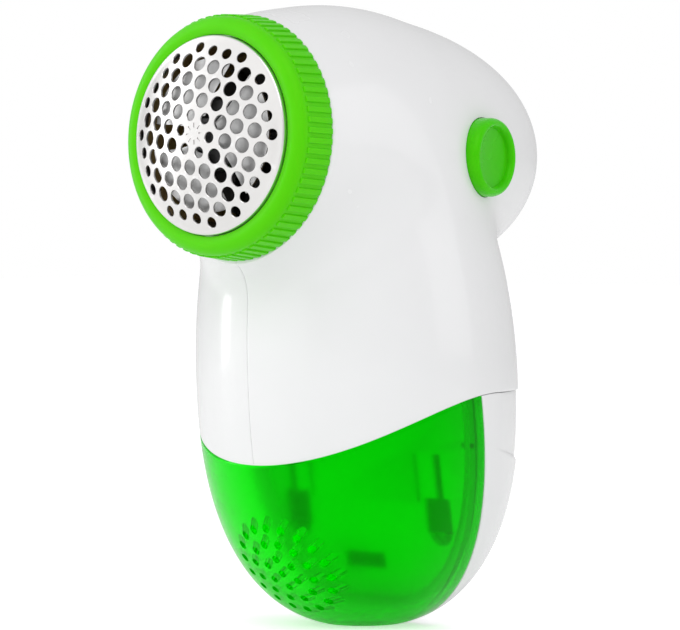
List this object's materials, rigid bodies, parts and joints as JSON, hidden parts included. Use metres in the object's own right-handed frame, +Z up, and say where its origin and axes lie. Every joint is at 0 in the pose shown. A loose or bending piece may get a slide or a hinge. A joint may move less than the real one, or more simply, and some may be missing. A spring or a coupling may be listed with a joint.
{
  "type": "fabric shaver",
  "caption": "Hand-held battery fabric shaver with a perforated foil in a knurled clamp ring, a push button, a clear lint bin and a battery door.",
  "frame": {"origin": "centre of the small flat base that the grip stands on", "axes": "+Z up the grip, -Y out of the foil, +X out of the side with the push button"},
  "size_m": [0.0674, 0.0993, 0.1305],
  "materials": {
    "white_gloss_plastic": "polished white ABS",
    "white_inner_plastic": "plain moulded white ABS",
    "green_satin_plastic": "satin bright green ABS",
    "clear_green_plastic": "translucent green polystyrene",
    "foil_steel": "polished etched steel foil",
    "spring_steel": "plated steel",
    "black_plastic": "black nylon",
    "wire_insulation_red": "red PVC insulation",
    "wire_insulation_black": "black PVC insulation",
    "cell_wrap": "printed sleeve over a metal can"
  },
  "bodies": {
    "housing": {"housing_left": "white_gloss_plastic", "housing_right": "white_gloss_plastic", "housing_screw_1": "spring_steel", "housing_screw_2": "spring_steel", "housing_screw_3": "spring_steel", "cutter_chamber": "white_inner_plastic", "lint_duct": "white_inner_plastic", "motor_bracket": "white_inner_plastic", "bracket_screw_1": "spring_steel", "bracket_screw_2": "spring_steel", "motor_can": "spring_steel", "motor_end_cap": "black_plastic", "motor_terminal_1": "spring_steel", "motor_terminal_2": "spring_steel", "button_guide": "white_inner_plastic", "button_spring": "spring_steel", "switch_body": "black_plastic", "chassis": "white_inner_plastic", "battery_tray": "white_inner_plastic", "battery_cell_1": "cell_wrap", "battery_cell_2": "cell_wrap", "cell_link": "spring_steel", "contact_plate_1": "spring_steel", "contact_plate_2": "spring_steel", "contact_spring_1": "spring_steel", "contact_spring_2": "spring_steel", "wire_red": "wire_insulation_red", "wire_black": "wire_insulation_black", "wire_link": "wire_insulation_red"},
    "cap": {"foil": "foil_steel"},
    "ring": {"clamp_ring": "green_satin_plastic"},
    "rotor": {"motor_shaft": "spring_steel", "fan": "black_plastic", "blade_hub": "black_plastic", "blade_cap": "black_plastic", "blade_1": "spring_steel", "blade_2": "spring_steel", "blade_3": "spring_steel"},
    "button": {"power_button": "green_satin_plastic", "switch_plunger": "green_satin_plastic"},
    "bin": {"lint_bin": "clear_green_plastic"},
    "door": {"battery_door": "white_gloss_plastic"}
  },
  "joints": [
    {"name": "cap_slide", "type": "slide", "parent": "housing", "child": "cap", "axis": [0, -0.9986, 0.0523], "range_m": [0, 0.03]},
    {"name": "ring_turn", "type": "hinge", "parent": "cap", "child": "ring", "pos_m": [0, -0.0385, 0.1025], "axis": [0, -0.9986, 0.0523], "range_deg": [0, 40]},
    {"name": "rotor_spin", "type": "hinge", "parent": "housing", "child": "rotor", "pos_m": [0, -0.0385, 0.1025], "axis": [0, -0.9986, 0.0523], "continuous": true},
    {"name": "button_press", "type": "slide", "parent": "housing", "child": "button", "axis": [-0.9903, -0.1392, 0], "range_m": [0, 0.0018], "stiffness_N_per_m": 600, "springref_m": -0.0015, "deforming": ["button_spring"]},
    {"name": "lint_bin_slide", "type": "slide", "parent": "housing", "child": "bin", "axis": [0, 0.1582, -0.9874], "range_m": [0, 0.055]},
    {"name": "battery_door_slide", "type": "slide", "parent": "housing", "child": "door", "axis": [0, 0.1582, -0.9874], "range_m": [0, 0.055]}
  ]
}
